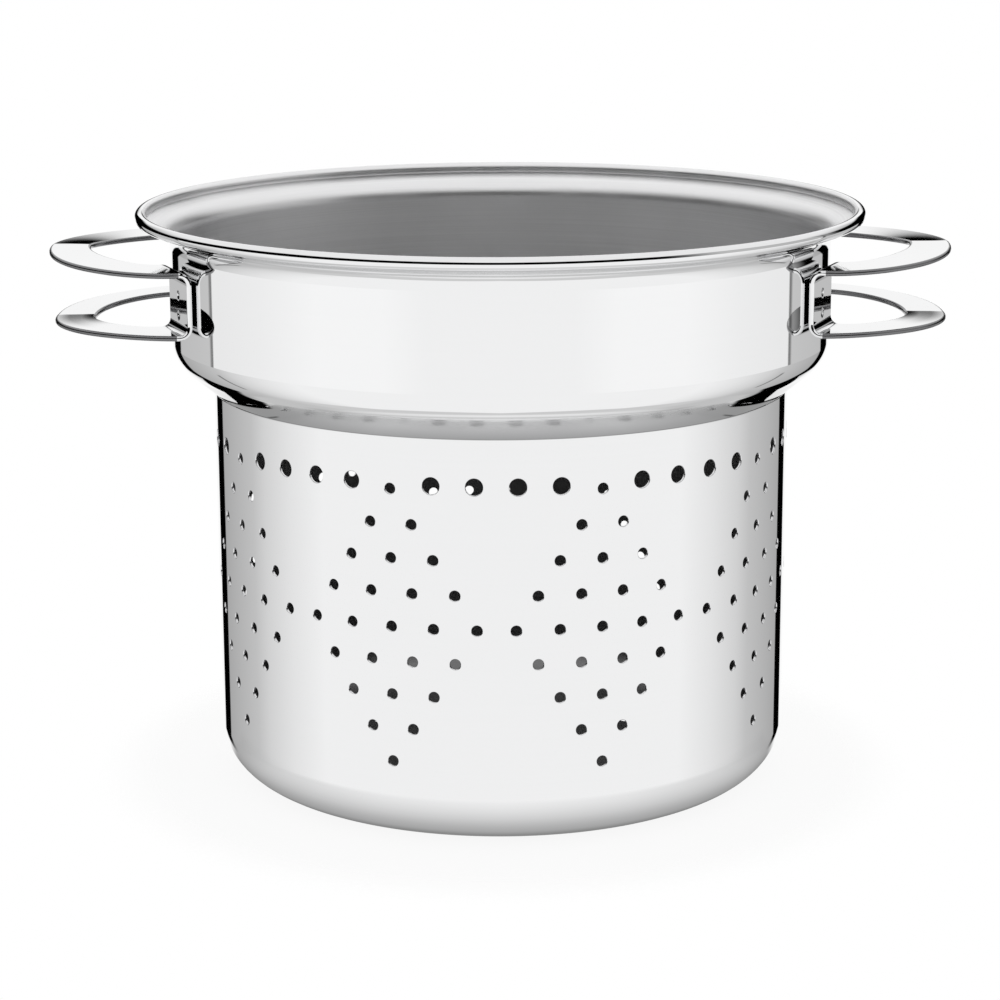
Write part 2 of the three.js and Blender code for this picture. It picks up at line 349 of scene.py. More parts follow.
def steel(name, tint, roughness, grain, shade_band=None):
    """Steel whose turning lines lie in its colour, its roughness and its surface; a band, if given, paints
    shade into its colour.
    """
    material, graph, shader = new_material(name)
    lines = turning_lines(graph, grain)
    line, cloud = lines - 0.5, soft_clouds(graph) - 0.5
    shade = 1 + (line + cloud / 2) * grain.lines
    if shade_band:
        shade, roughness = with_painted_shade_band(graph, shade_band, shade, roughness)
    tinted = graph.node(
        "ShaderNodeMix",
        {"data_type": "RGBA", "blend_type": "MULTIPLY"},
        {0: 1, 6: (*tint, 1), 7: graph.vector(shade, shade, shade)},
    )
    graph.feed(shader.inputs["Base Color"], tinted.outputs[2])
    uneven = 1 + cloud * CLOUD_ROUGHNESS + line * GRAIN_ROUGHNESS
    graph.feed(shader.inputs["Roughness"], roughness * uneven)
    relief = {"Height": lines, "Distance": grain.depth, "Strength": BUMP_STRENGTH}
    graph.feed(shader.inputs["Normal"], graph.node("ShaderNodeBump", None, relief).outputs[0])
    shader.inputs["Metallic"].default_value = 1
    return material


def finishes(finish, sizes):
    """The three finishes of the body, in the order of their slots."""
    crease, mm = sizes.crease_height, MILLIMETRE
    # Painted shade: the shoulder's cone over the crease is darker towards the crease, standing in for the
    # shade and dark reflections there. At the front it is also rougher.
    cone_painted_shade = PaintedShadeAndRoughBand(
        low=crease - 0.2 * mm, high=crease + 9.8 * mm, low_blend=0.3 * mm, high_blend=1.5 * mm,
        foot=0.6, head=0.22, roughness=0.4,
    )
    # Painted shade: the inside below the crease is darkened to about a quarter, standing in for the shade
    # deep in the basket.
    deep_painted_shade = PaintedShadeAndRoughBand(
        low=-20 * mm, high=crease + 9 * mm, low_blend=8 * mm, high_blend=10 * mm,
        foot=0.75, head=0.72, roughness=finish.satin,
    )
    return [
        steel("polished_steel", finish.tint, finish.polish, POLISHED_GRAIN, cone_painted_shade),
        steel("satin_steel", finish.inside_tint, finish.satin, SATIN_GRAIN, deep_painted_shade),
        steel("punched_edge", finish.edge_tint, finish.cut, PUNCHED_GRAIN),
    ]


# Body


def unit(rows):
    return rows / np.linalg.norm(rows, axis=-1, keepdims=True)


class Line(NamedTuple):
    """A straight stretch of the body's section."""

    start: tuple
    end: tuple
    finish: int

    def points(self):
        return [self.start]

    def distance(self, places):
        along = np.subtract(self.end, self.start)
        share = np.clip((places - self.start) @ along / (along @ along), 0, 1)
        return np.linalg.norm(places - self.start - share[:, None] * along, axis=1)

    def normals(self, places):
        along = unit(np.subtract(self.end, self.start))
        return np.tile([along[1], -along[0]], (len(places), 1))


class Arc(NamedTuple):
    """A round stretch of the body's section, from one angle to another."""

    centre: tuple
    radius: float
    start: float
    end: float
    steps: int
    finish: int

    def at(self, angle):
        return self.centre + self.radius * np.array([math.cos(angle), math.sin(angle)])

    def points(self):
        turn = (self.end - self.start) / self.steps
        return [self.at(self.start + i * turn) for i in range(self.steps)]

    def distance(self, places):
        offset = places - self.centre
        middle = (self.start + self.end) / 2
        swing = np.arctan2(offset[:, 1], offset[:, 0]) - middle
        swing = (swing + HALF_TURN) % FULL_TURN - HALF_TURN
        beyond = np.abs(swing) > abs(self.end - self.start) / 2
        ends = [np.linalg.norm(places - self.at(angle), axis=1) for angle in (self.start, self.end)]
        near = np.abs(np.linalg.norm(offset, axis=1) - self.radius)
        return np.where(beyond, np.minimum(*ends), near)

    def normals(self, places):
        offset = places - self.centre
        return unit(offset) * math.copysign(1, self.end - self.start)


def shoulder_centre(sizes):
    """Centre of the shoulder's turn: the cone from the crease runs into it without a kink."""
    collar = sizes.basket_radius + sizes.shoulder_step
    tangent_radius = collar - sizes.shoulder_radius * (1 - math.cos(sizes.shoulder_angle))
    rise = (tangent_radius - sizes.basket_radius) / math.tan(sizes.shoulder_angle)
    height = sizes.crease_height + rise + sizes.shoulder_radius * math.sin(sizes.shoulder_angle)
    return collar - sizes.shoulder_radius, height


def rim_places(sizes):
    """Centres of the flare and the bead; the bead's centre stands clear of the lip's upper face."""
    collar = sizes.basket_radius + sizes.shoulder_step
    lip = QUARTER_TURN + sizes.lip_slope
    bead_x = collar + sizes.rim_overhang - sizes.bead_radius
    bead_y = sizes.crease_height + sizes.rim_above_crease - sizes.bead_radius
    flare_x = collar + sizes.flare_radius
    square_to_lip = sizes.flare_radius + sizes.sheet + sizes.bead_above_lip
    drop = (square_to_lip - (bead_x - flare_x) * math.cos(lip)) / math.sin(lip)
    return (flare_x, bead_y - drop), (bead_x, bead_y)


# Divisions of the section's arcs.
CORNER_STEPS, INSIDE_CORNER_STEPS = 16, 12
SHOULDER_STEPS, INSIDE_SHOULDER_STEPS = 12, 10
FILLET_STEPS, FLARE_STEPS = 5, 8
BEAD_STEPS, BEAD_TOP_STEPS = 20, 9
SAME_PLACE = 1e-8


def body_section(sizes):
    """The sheet's outline from the axis under the base, over the rim and back to the axis."""
    sheet, corner = sizes.sheet, sizes.corner_radius
    basket, crease = sizes.basket_radius, sizes.crease_height
    turn, lip = sizes.shoulder_angle, QUARTER_TURN + sizes.lip_slope
    shoulder = shoulder_centre(sizes)
    flare, bead = rim_places(sizes)
    flat = basket - corner
    fillet = sizes.crease_fillet
    fillet_centre = (basket + fillet, crease - fillet * math.tan(turn / 2))
    bead_start = sizes.lip_slope + math.asin((sizes.bead_above_lip + sheet) / sizes.bead_radius) - HALF_TURN
    bead_end = sizes.lip_slope + math.asin(sizes.bead_above_lip / sizes.bead_radius) + HALF_TURN
    arcs = [
        Arc((flat, corner), corner, -QUARTER_TURN, 0, CORNER_STEPS, POLISHED),
        Arc(fillet_centre, fillet, HALF_TURN, HALF_TURN - turn, FILLET_STEPS, POLISHED),
        Arc(shoulder, sizes.shoulder_radius, -turn, 0, SHOULDER_STEPS, POLISHED),
        Arc(flare, sizes.flare_radius, HALF_TURN, lip, FLARE_STEPS, POLISHED),
        Arc(bead, sizes.bead_radius, bead_start, lip, BEAD_STEPS, POLISHED),
        Arc(bead, sizes.bead_radius, lip, bead_end, BEAD_TOP_STEPS, SATIN),
        Arc(flare, sizes.flare_radius + sheet, lip, HALF_TURN, FLARE_STEPS, SATIN),
        Arc(shoulder, sizes.shoulder_radius - sheet, 0, -turn, INSIDE_SHOULDER_STEPS, SATIN),
        Arc(fillet_centre, fillet + sheet, HALF_TURN - turn, HALF_TURN, FILLET_STEPS, SATIN),
        Arc((flat, corner), corner - sheet, 0, -QUARTER_TURN, INSIDE_CORNER_STEPS, SATIN),
    ]
    section = [Line((0, 0), arcs[0].at(arcs[0].start), POLISHED), arcs[0]]
    for before, after in zip(arcs, arcs[1:]):
        gap = Line(before.at(before.end), after.at(after.start), before.finish)
        if not np.allclose(gap.start, gap.end, rtol=0, atol=SAME_PLACE):
            section.append(gap)
        section.append(after)
    section.append(Line(arcs[-1].at(arcs[-1].end), (0, sheet), SATIN))
    return section


def spun_mesh(name, section, segments):
    """The closed body of revolution of a section whose two ends lie on the axis."""
    points = [point for stretch in section for point in stretch.points()][1:]
    finish = [stretch.finish for stretch in section for _ in stretch.points()]
    turns = np.arange(segments) * FULL_TURN / segments
    rings = [
        np.column_stack([r * np.cos(turns), r * np.sin(turns), np.full(segments, z)]) for r, z in points
    ]
    vertices = np.vstack([*rings, [section[0].start[0], 0, section[0].start[1]], [0, 0, section[-1].end[1]]])
    below, above = len(vertices) - 2, len(vertices) - 1
    faces, slots = [], []
    last = (len(points) - 1) * segments
    for i in range(segments):
        j = (i + 1) % segments
        faces.append((below, j, i))
        faces.append((above, last + i, last + j))
        slots += [finish[0], finish[-1]]
        for ring in range(len(points) - 1):
            here, there = ring * segments, (ring + 1) * segments
            faces.append((here + i, here + j, there + j, there + i))
            slots.append(finish[ring + 1])
    mesh = bpy.data.meshes.new(name)
    mesh.from_pydata(vertices.tolist(), [], faces)
    mesh.polygons.foreach_set("material_index", slots)
    return mesh


PUNCH_STEPS = 4  # divisions of the punch's rounding
PUNCH_OPENING = math.radians(66)  # how far the rounding turns
PUNCH_OVERRUN = 1.2  # how far the punch passes the sheet, in sheets
SMALL_SIDES, LARGE_SIDES = 20, 28


def punch(graph, diameter, rounding, sheet, sides):
    """A closed punch along X through the wall, which rounds the outer edge of its hole."""
    overrun = sheet * PUNCH_OVERRUN
    index = graph.value("GeometryNodeInputIndex")
    share = graph.math("MINIMUM", graph.math("MAXIMUM", index - 1, 0) / PUNCH_STEPS, 1)
    turn = share * PUNCH_OPENING
    first = index < 0.5
    last = index > PUNCH_STEPS + 1.5
    depth = rounding * (graph.math("SINE", turn) - math.sin(PUNCH_OPENING)) + (last - first * 2) * overrun
    radius = diameter / 2 + rounding * (1 - graph.math("COSINE", turn))
    radius = radius + last * overrun * math.tan(PUNCH_OPENING)
    line = graph.node("GeometryNodeMeshLine", None, {"Count": PUNCH_STEPS + 3})
    curve = graph.node("GeometryNodeMeshToCurve", None, {"Mesh": line.outputs[0]})
    placed = graph.node(
        "GeometryNodeSetPosition", None, {"Geometry": curve.outputs[0], "Position": graph.vector(depth, 0, 0)}
    )
    circle = graph.node("GeometryNodeCurvePrimitiveCircle", None, {"Resolution": sides, "Radius": 1})
    return graph.node(
        "GeometryNodeCurveToMesh",
        None,
        {"Curve": placed.outputs[0], "Profile Curve": circle.outputs[0], "Scale": radius, "Fill Caps": True},
    ).outputs[0]


def punches_at(graph, amount, position, rotation, shape):
    points = graph.node("GeometryNodePoints", None, {"Count": amount, "Position": position})
    turned = graph.node("FunctionNodeEulerToRotation", None, {"Euler": rotation})
    sockets = {"Points": points.outputs[0], "Instance": shape, "Rotation": turned.outputs[0]}
    return graph.node("GeometryNodeInstanceOnPoints", None, sockets).outputs[0]


def wall_punches(graph, amount, turn, height, radius, shape):
    """Punches square to the wall; the turn is from the front towards +X."""
    position = graph.vector(graph.math("SINE", turn) * radius, -graph.math("COSINE", turn) * radius, height)
    return punches_at(graph, amount, position, graph.vector(0, 0, turn - QUARTER_TURN), shape)


def diamond_punches(graph, given, shape):
    """Square lattices of holes that stand on one corner, spaced evenly round the basket."""
    side = given["Diamond Side"]
    index = graph.value("GeometryNodeInputIndex")
    diamond = graph.groups_before(index, side * side)
    place = index - diamond * side * side
    down_left = graph.groups_before(place, side)
    down_right = place - down_left * side
    turn = given["Diamond Turn"] + diamond * FULL_TURN / given["Diamonds"]
    turn = turn + (down_right - down_left) / 2 * given["Hole Pitch"]
    row_pitch = (given["Top Row"] - given["Lowest Row"]) / (side * 2 - 2)
    height = given["Top Row"] - (down_left + down_right) * row_pitch
    amount = given["Diamonds"] * side * side
    return wall_punches(graph, amount, turn, height, given["Basket Radius"], shape)


def large_punches(graph, given, shape):
    """Rows of large holes between the tips of neighbouring diamonds."""
    per_gap = given["Large Per Gap"]
    index = graph.value("GeometryNodeInputIndex")
    gap = graph.groups_before(index, per_gap)
    place = index - gap * per_gap - (per_gap - 1) / 2
    turn = given["Diamond Turn"] + (gap + 0.5) * FULL_TURN / given["Diamonds"] + place * given["Large Pitch"]
    amount = given["Diamonds"] * per_gap
    return wall_punches(graph, amount, turn, given["Large Row"], given["Basket Radius"], shape)


def base_punches(graph, given, shape):
    """Rings of holes in the base, each with one first ring's count more than the last.

    A ring's number solves the sum of the rings before it; the thousandth keeps it clear of rounding.
    """
    first = given["First Ring"]
    index = graph.value("GeometryNodeInputIndex")
    ring = graph.math("FLOOR", (1.001 + graph.math("SQRT", 1 + index * 8 / first)) / 2)
    place = index - first * ring * (ring - 1) / 2
    turn = place * FULL_TURN / (first * ring)
    radius = ring * given["Ring Pitch"]
    position = graph.vector(graph.math("COSINE", turn) * radius, graph.math("SINE", turn) * radius, 0)
    amount = first * given["Rings"] * (given["Rings"] + 1) / 2
    return punches_at(graph, amount, position, graph.vector(0, QUARTER_TURN, 0), shape)


def perforation_inputs(body, holes):
    """The values of the tree's inputs, by name."""
    top = body.crease_height - holes.top_below_crease
    return {
        "Basket Radius": body.basket_radius,
        "Sheet": body.sheet,
        "Small Diameter": holes.small_diameter,
        "Large Diameter": holes.large_diameter,
        "Edge Round": holes.edge_round,
        "Diamonds": holes.diamond_count,
        "Diamond Side": holes.diamond_side,
        "Diamond Turn": holes.diamond_turn,
        "Hole Pitch": holes.pitch_angle,
        "Large Pitch": holes.large_pitch_angle,
        "Top Row": top,
        "Lowest Row": body.corner_radius + holes.bottom_above_corner,
        "Large Row": top + holes.large_above_top,
        "Large Per Gap": holes.large_per_gap,
        "Ring Pitch": holes.base_ring_pitch,
        "First Ring": holes.base_first_ring,
        "Rings": holes.base_rings,
    }


def perforation_tree(inputs, material):
    """The tree of all punches, and the identifiers of its inputs."""
    tree = bpy.data.node_groups.new("Perforations", "GeometryNodeTree")
    identifiers = {}
    for name, value in inputs.items():
        kind = "NodeSocketInt" if isinstance(value, int) else "NodeSocketFloat"
        identifiers[name] = tree.interface.new_socket(name, in_out="INPUT", socket_type=kind).identifier
    tree.interface.new_socket("Punches", in_out="OUTPUT", socket_type="NodeSocketGeometry")
    graph = Graph(tree)
    source = graph.node("NodeGroupInput")
    given = {name: Value(graph, source.outputs[name]) for name in inputs}
    small = punch(graph, given["Small Diameter"], given["Edge Round"], given["Sheet"], SMALL_SIDES)
    large = punch(graph, given["Large Diameter"], given["Edge Round"], given["Sheet"], LARGE_SIDES)
    join = graph.node("GeometryNodeJoinGeometry")
    groups = [
        diamond_punches(graph, given, small),
        large_punches(graph, given, large),
        base_punches(graph, given, small),
    ]
    for group in groups:
        graph.feed(join.inputs[0], group)
    realized = graph.node("GeometryNodeRealizeInstances", None, {"Geometry": join.outputs[0]})
    finished = graph.node(
        "GeometryNodeSetMaterial", None, {"Geometry": realized.outputs[0], "Material": material}
    )
    graph.node("NodeGroupOutput", None, {"Punches": finished.outputs[0]})
    return tree, identifiers


def new_object(name, mesh):
    piece = bpy.data.objects.new(name, mesh)
    bpy.context.scene.collection.objects.link(piece)
    return piece


def settle_modifiers(piece):
    """Turn what the modifiers make into the piece's plain mesh."""
    evaluated = piece.evaluated_get(bpy.context.evaluated_depsgraph_get())
    mesh = bpy.data.meshes.new_from_object(evaluated)
    piece.modifiers.clear()
    piece.data = mesh
    mesh.name = piece.name


def punch_object(body, holes, materials):
    inputs = perforation_inputs(body, holes)
    tree, identifiers = perforation_tree(inputs, materials[PUNCHED])
    piece = new_object("punches", bpy.data.meshes.new("punches"))
    modifier = piece.modifiers.new("Perforations", "NODES")
    modifier.node_group = tree
    for name, value in inputs.items():
        modifier[identifiers[name]] = value
    settle_modifiers(piece)
    piece.data.materials.clear()
    for material in materials:
        piece.data.materials.append(material)
    piece.data.polygons.foreach_set("material_index", [PUNCHED] * len(piece.data.polygons))
    return piece


def perforate(shell, punches):
    modifier = shell.modifiers.new("Holes", "BOOLEAN")
    modifier.operation = "DIFFERENCE"
    modifier.solver = "MANIFOLD"
    modifier.object = punches
    settle_modifiers(shell)
    bpy.data.objects.remove(punches)


def read(items, attribute, width=1, kind=np.int32):
    """One attribute of all of a mesh's items, as an array."""
    values = np.zeros(len(items) * width, dtype=kind)
    items.foreach_get(attribute, values)
    return values if width == 1 else values.reshape(-1, width)


def mark_hole_edges(mesh, punched):
    """Sharp edges where a punched face meets the sheet's own faces, from the faces' corners."""
    edges = read(mesh.loops, "edge_index")
    touching = np.zeros((2, len(mesh.edges)), dtype=bool)
    touching[0, edges[punched]] = True
    touching[1, edges[~punched]] = True
    mesh.edges.foreach_set("use_edge_sharp", touching.all(axis=0))


def set_section_normals(mesh, section):
    """Give each face of the sheet the exact normals of its stretch of the section."""
    totals = read(mesh.polygons, "loop_total")
    punched = np.repeat(read(mesh.polygons, "material_index") == PUNCHED, totals)
    mark_hole_edges(mesh, punched)
    centres = read(mesh.polygons, "center", 3, float)
    flat = np.column_stack([np.hypot(centres[:, 0], centres[:, 1]), centres[:, 2]])
    nearest = np.argmin([stretch.distance(flat) for stretch in section], axis=0)
    stretches = np.where(punched, -1, np.repeat(nearest, totals))
    places = read(mesh.vertices, "co", 3, float)[read(mesh.loops, "vertex_index")]
    radii = np.hypot(places[:, 0], places[:, 1])
    outward = places[:, :2] / np.maximum(radii, TINY)[:, None]
    normals = np.zeros_like(places)
    for number, stretch in enumerate(section):
        chosen = stretches == number
        bent = stretch.normals(np.column_stack([radii[chosen], places[chosen, 2]]))
        normals[chosen] = np.column_stack([outward[chosen] * bent[:, :1], bent[:, 1]])
    mesh.polygons.foreach_set("use_smooth", [True] * len(mesh.polygons))
    mesh.normals_split_custom_set(normals.tolist())
    mesh.update()


class STRAINER_OT_body(bpy.types.Operator):
    """Spin the sheet body and punch its holes"""

    bl_idname = "strainer.body"
    bl_label = "Body"
    bl_options = {"REGISTER", "UNDO"}

    def execute(self, context):
        sizes, holes = context.scene.strainer_body_sizes, context.scene.strainer_hole_sizes
        materials = finishes(context.scene.strainer_finish, sizes)
        section = body_section(sizes)
        shell = new_object("body_shell", spun_mesh("body_shell", section, sizes.segments))
        for material in materials:
            shell.data.materials.append(material)
        perforate(shell, punch_object(sizes, holes, materials))
        set_section_normals(shell.data, section)
        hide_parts("strainer_body")
        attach(shell, "root")
        return {"FINISHED"}


# Handles


LOOP_STEPS, BEND_STEPS, STRAP_STEPS = 40, 10, 42
# How far a loop's two edges bow in plan: the outer edge at its tip and its arm, then the inner edge.
UPPER_PULLS = (0.73, 0.31, 0.47, 0.29)
LOWER_PULLS = (0.81, 0.13, 0.68, 0.3)
# Points of the band's outline on each rounded corner and on the strap's outward face.
ROUND_POINTS, FACE_POINTS = 5, 25
FACE_REACH = 0.6  # half the width that those face points cover, in weld dimples
FACE_TOLERANCE = 0.05 * MILLIMETRE
# Sides of that outline on the band's rounded inner and outer edge, by their number round it.
INNER_EDGE = range(ROUND_POINTS, 3 * ROUND_POINTS - 1)
OUTER_EDGE = (
    *range(ROUND_POINTS - 1), *range(3 * ROUND_POINTS + FACE_POINTS, 4 * ROUND_POINTS + FACE_POINTS),
)
LOOP_START = 3  # how far out from the collar the loops start, in sheets


def curve_points(corners, steps):
    """Points of a cubic curve with four corners."""
    share = np.linspace(0, 1, steps, endpoint=False)[:, None]
    a, b, c, d = (np.array(corner) for corner in corners)
    rest = 1 - share
    return a * rest**3 + 3 * b * share * rest**2 + 3 * c * share**2 * rest + d * share**3


def strap_sections(sizes, distance, height, bend):
    """Sections square to the strap's radius; one each for the given distances, heights and bends."""
    turn = sizes.strap_angle
    out = np.array([math.cos(turn), math.sin(turn), 0])
    along = np.array([-math.sin(turn), math.cos(turn), 0])
    up = np.array([0, 0, 1])
    middle = distance[:, None] * out + height[:, None] * up
    normal = -np.sin(bend)[:, None] * out + np.cos(bend)[:, None] * up
    half = along * sizes.strap_width / 2
    return middle + half, middle - half, normal


def loop_sections(sizes, bend_centre, tip, strap_height, rise, pulls, facing):
    """Sections from a loop's tip to its strap, as in the plan of its two edges."""
    zero = np.zeros(1)
    outer_end, inner_end, _ = strap_sections(sizes, zero + bend_centre, zero, zero)
    edges = []
    for end, start, tip_pull, arm_pull in (
        (outer_end[0], tip, pulls[0], pulls[1]),
        (inner_end[0], tip - sizes.tip_width, pulls[2], pulls[3]),
    ):
        arm = (start - end[0]) * arm_pull
        pull = end[:2] + arm * np.array([math.cos(sizes.strap_angle), math.sin(sizes.strap_angle)])
        edges.append(curve_points([(start, 0), (start, end[1] * tip_pull), pull, end[:2]], LOOP_STEPS))
    share = np.linspace(0, 1, LOOP_STEPS, endpoint=False)
    height = (strap_height + rise * (1 - share) ** 2)[:, None]
    normal = np.tile([0, 0, facing], (LOOP_STEPS, 1))
    return np.hstack([edges[0], height]), np.hstack([edges[1], height]), normal


def half_band(sizes, collar, rim):
    """Sections from the upper loop's tip down the strap to the lower loop's tip."""
    half_sheet = sizes.sheet / 2
    bend_centre = collar + sizes.weld_gap + sizes.sheet + sizes.bend_radius
    bend_middle = sizes.bend_radius + half_sheet
    tip = collar + sizes.reach
    upper = rim - sizes.below_rim - half_sheet
    lower = upper - sizes.loop_spacing
    bends = np.linspace(0, QUARTER_TURN, BEND_STEPS)
    straight = np.linspace(upper - bend_middle, lower + bend_middle, STRAP_STEPS)[1:-1]
    wall = np.full(len(straight), QUARTER_TURN)
    inward, drop = bend_middle * np.sin(bends), bend_middle * (1 - np.cos(bends))
    lower_loop = loop_sections(
        sizes, bend_centre, tip - sizes.lower_setback, lower, -sizes.loop_spread, LOWER_PULLS, -1
    )
    parts = [
        loop_sections(sizes, bend_centre, tip, upper, sizes.loop_spread, UPPER_PULLS, 1),
        strap_sections(sizes, bend_centre - inward, upper - drop, bends),
        strap_sections(sizes, np.full(len(straight), bend_centre - bend_middle), straight, wall),
        strap_sections(sizes, bend_centre - inward[::-1], lower + drop[::-1], HALF_TURN - bends[::-1]),
        [part[::-1] for part in lower_loop],
    ]
    return [np.vstack(rows) for rows in zip(*parts)]


def closed_band(half):
    """The half band and its mirror image, as one ring of sections."""
    mirror = np.array([1, -1, 1])
    return [np.vstack([rows, rows[-2:0:-1] * mirror]) for rows in half]


def edge_frame(edge, normal, away):
    """The sheet's true normal along one edge, and the direction square to that edge in the sheet."""
    along = np.roll(edge, -1, axis=0) - np.roll(edge, 1, axis=0)
    upright = unit(np.cross(along, away))
    upright = upright * np.sign(np.sum(upright * normal, axis=1, keepdims=True))
    across = unit(np.cross(along, upright))
    return upright, across * np.sign(np.sum(across * away, axis=1, keepdims=True))


def band_outline(sizes, outer, inner, normal):
    """Rounded outlines round every section, with the surface's normal at each point."""
    half, ease = sizes.sheet / 2, sizes.edge_round
    away = unit(outer - inner)
    frames = {1: edge_frame(outer, normal, away), -1: edge_frame(inner, normal, -away)}
    edges = {1: outer, -1: inner}
    places, facings = [], []
    turns = np.linspace(0, QUARTER_TURN, ROUND_POINTS)
    for first, side, rise in ((0, 1, 1), (1, -1, 1), (0, -1, -1), (1, 1, -1)):
        upright, across = frames[side]
        for turn in turns[::-1] if first else turns:
            facing = across * math.cos(turn) + upright * rise * math.sin(turn)
            core = edges[side] - across * ease + upright * rise * (half - ease)
            places.append(core + facing * ease)
            facings.append(facing)
        if side == -1 and rise == -1:
            middle = (outer + inner) / 2
            reach = sizes.dimple_diameter * FACE_REACH
            upright = unit(frames[1][0] + frames[-1][0])
            for offset in np.linspace(-reach, reach, FACE_POINTS):
                places.append(middle + away * offset - upright * half)
                facings.append(-upright)
    return np.stack(places, axis=1), np.stack(facings, axis=1)


def press_dimples(sizes, places, facings, collar, weld_middle):
    """Press the weld dimples into the face that looks out from the collar."""
    face = collar + sizes.weld_gap + sizes.sheet
    radius = sizes.dimple_diameter / 2
    for turn in (-sizes.strap_angle, sizes.strap_angle):
        out = np.array([math.cos(turn), math.sin(turn), 0])
        for drop in (-sizes.weld_spacing / 2, sizes.weld_spacing / 2):
            centre = out * face + np.array([0, 0, weld_middle + drop])
            offset = places - centre
            on_face = np.abs(offset @ out) < FACE_TOLERANCE
            sideways = offset - (offset @ out)[..., None] * out
            distance = np.linalg.norm(sideways, axis=-1)
            inside = on_face & (distance < radius)
            swing = np.clip(distance / radius, 0, 1) * HALF_TURN
            fall = (np.cos(swing) + 1) / 2
            slope = np.sin(swing) * HALF_TURN / 2 / radius
            places[inside] -= (sizes.dimple_depth * fall[inside])[:, None] * out
            outward = sideways / np.maximum(distance, TINY)[..., None]
            tilted = out - outward * (sizes.dimple_depth * slope)[..., None]
            facings[inside] = unit(tilted[inside])


def loop_edges(places, strap_limit):
    """Which faces of the tube lie on the round edges of the loops, and not on the straps."""
    on_edge = np.isin(np.arange(places.shape[1]), (*INNER_EDGE, *OUTER_EDGE))
    on_loop = np.hypot(places[..., 0], places[..., 1]).min(axis=1) > strap_limit
    return np.logical_and.outer(on_loop, on_edge)


def ring_mesh(name, places, facings, slots):
    """A closed tube through rings of points, with a normal of its own at each corner."""
    rings, sides, _ = places.shape
    numbers = np.arange(rings * sides).reshape(rings, sides)
    after = np.roll(numbers, -1, axis=0)
    faces = np.stack([numbers, after, np.roll(after, -1, axis=1), np.roll(numbers, -1, axis=1)], axis=-1)
    faces = faces.reshape(-1, 4)
    mesh = bpy.data.meshes.new(name)
    mesh.from_pydata(places.reshape(-1, 3).tolist(), [], faces.tolist())
    mesh.polygons.foreach_set("use_smooth", [True] * len(faces))
    mesh.polygons.foreach_set("material_index", slots.ravel().astype(np.int32))
    mesh.normals_split_custom_set(facings.reshape(-1, 3)[faces.ravel()].tolist())
    mesh.update()
    return mesh


class STRAINER_OT_handles(bpy.types.Operator):
    """Bend the two double-loop handles"""

    bl_idname = "strainer.handles"
    bl_label = "Handles"
    bl_options = {"REGISTER", "UNDO"}

    def execute(self, context):
        body, sizes = context.scene.strainer_body_sizes, context.scene.strainer_handle_sizes
        finish = context.scene.strainer_finish
        collar = body.basket_radius + body.shoulder_step
        rim = body.crease_height + body.rim_above_crease
        band = closed_band(half_band(sizes, collar, rim))
        places, facings = band_outline(sizes, *band)
        strap_middle = rim - sizes.below_rim - (sizes.sheet + sizes.loop_spacing) / 2
        press_dimples(sizes, places, facings, collar, strap_middle - sizes.weld_drop)
        slots = loop_edges(places, collar + sizes.sheet * LOOP_START)
        materials = [
            steel("handle_polish", finish.tint, finish.polish * HANDLE_ROUGHNESS, HANDLE_GRAIN),
            # The loops' edges get a dark colour that is painted shade.
            steel("handle_edge_painted_shade", finish.loop_edge_painted_shade, finish.cut, LOOP_EDGE_GRAIN),
        ]
        for name, node, side in (
            ("handle_loops_right", "handle_right", 1),
            ("handle_loops_left", "handle_left", -1),
        ):
            turned = np.array([side, side, 1])
            piece = new_object(name, ring_mesh(name, places * turned, facings * turned, slots))
            for material in materials:
                piece.data.materials.append(material)
            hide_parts(node)
            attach(piece, "root")
        return {"FINISHED"}


# Stage


class Side(NamedTuple):
    """A side of the black card: its azimuth, and how it leans forward below an elevation."""

    azimuth: float
    start: float
    lean: float


# What the steel mirrors, by direction in degrees. An azimuth of 0 is the camera's side and 180 is behind
# the object, on the left as on the right. Greys of the cards under and over the level, and of the ground.
LOW_CARDS = (
    (0, 1), (75, 1), (92, 0.88), (108, 0.73), (117, 0.6), (127, 0.54), (147, 0.43), (161, 1), (180, 1),
)
LEVEL_CARDS = (
    (0, 1), (25, 1), (40, 1.05), (65, 1.05), (90, 0.97), (112, 0.93), (116.8, 0.93), (117.4, 0.22),
    (118.6, 0.22), (119.2, 0.62), (149, 0.55), (161, 1), (180, 1),
)
GROUND_CARDS = ((0, 0.68), (106, 0.68), (118, 0.6), (180, 0.6))
CARDS = (LOW_CARDS, LEVEL_CARDS, GROUND_CARDS)
LEVEL, LEVEL_SLOPE = (-12, -11.7), 0.006
CEILING, CEILING_GREY = (15, 30), 0.93
# Elevations of the ground's edge, and of the dark room's top and foot.
GROUND_EDGE = ((0, -72), (73, -62), (106, -49), (140, -40), (180, -40))
BAND_TOP = ((0, 30), (30, 32), (75, 32), (110, 22), (125, 15), (157, 14), (163, 13), (165, 6.2), (180, 6.2))
BAND_FOOT = ((0, -7.5), (30, -6), (75, -4), (162, -3), (165, -3.5), (180, -3.5))
GROUND_BLEND, TOP_BLEND, FOOT_BLEND = 1.5, 2, 0.8
# Azimuths between which the dark room is paler on the right, with their blends, and by how much.
PALER_SIDE, PALER = (62.5, 124, 12.5, 6), 0.55
# The black card: its near and far sides, the far side of its foot, and its elevations.
CARD_SIDES = (Side(147.9, -21, 0.75), Side(159.5, -18, 1.3), Side(168, -25, 0.7))
CARD_FOOT, CARD_HEIGHTS, CARD_BLEND = (-25.6, -24.6), (-37, 11, 1, 3), 0.6
# The soft box's dark edge as the shoulder mirrors it: azimuths, elevations and darkness.
EDGE_SIDES, EDGE_HEIGHTS, EDGE_DARKNESS = (118.9, 121.1, 0.5), (-36, -21, 1), 0.6


